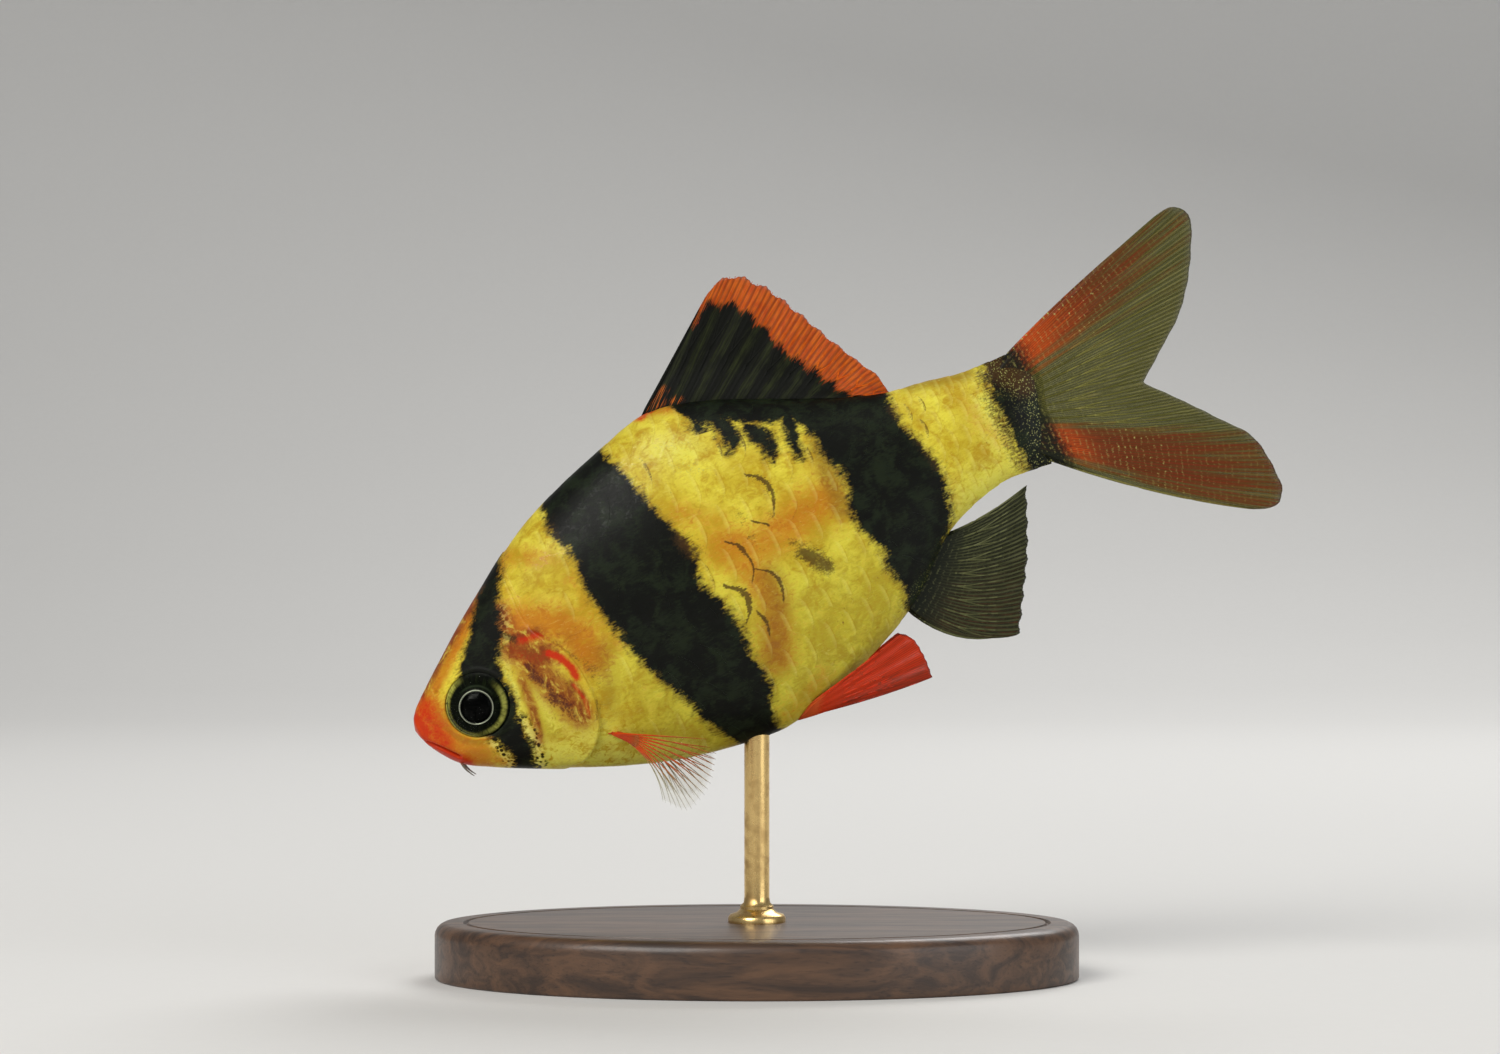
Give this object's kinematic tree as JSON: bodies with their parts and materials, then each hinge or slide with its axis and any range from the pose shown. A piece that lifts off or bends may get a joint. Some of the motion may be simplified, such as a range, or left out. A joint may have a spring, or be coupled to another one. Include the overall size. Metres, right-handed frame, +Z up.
{
  "type": "tiger barb on a display stand",
  "caption": "Life-size still model of a deep-bodied striped aquarium fish, nose down, held over an oval base by a short rod.",
  "frame": {"origin": "on the floor under the middle of the whole model's box, at the underside of the base", "axes": "+X runs from the fish's head to its tail along the base's long side, +Y is the fish's right side, +Z is up"},
  "size_m": [0.0624, 0.03, 0.0553],
  "materials": {
    "skin": "wet, finely scaled skin, golden yellow with black bands and a red snout, glossy",
    "eye": "clear domed eye, black pupil in a thin silver-gold ring on a dark green-black iris",
    "dorsal_fin": "black membrane with an orange margin, rayed",
    "clear_fin": "clear greenish-grey membrane with fine pale segmented rays, red-brown in places",
    "pelvic_fin": "red membrane with dark streaks, rayed",
    "barbel": "soft pale skin",
    "stand_wood": "dark stained wood, satin lacquer",
    "stand_brass": "brushed"
  },
  "bodies": {
    "root": {"head": "skin", "trunk": "skin", "tail_stem": "skin", "gill_cover_left": "skin", "gill_cover_right": "skin", "eye_left": "eye", "eye_right": "eye", "barbel_left": "barbel", "barbel_right": "barbel", "dorsal_fin": "dorsal_fin", "anal_fin": "clear_fin", "tail_fin_upper": "clear_fin", "tail_fin_lower": "clear_fin", "pelvic_fin_left": "pelvic_fin", "pelvic_fin_right": "pelvic_fin", "pectoral_fin_left": "clear_fin", "pectoral_fin_right": "clear_fin", "stand_base": "stand_wood", "stand_rod": "stand_brass"}
  },
  "joints": []
}
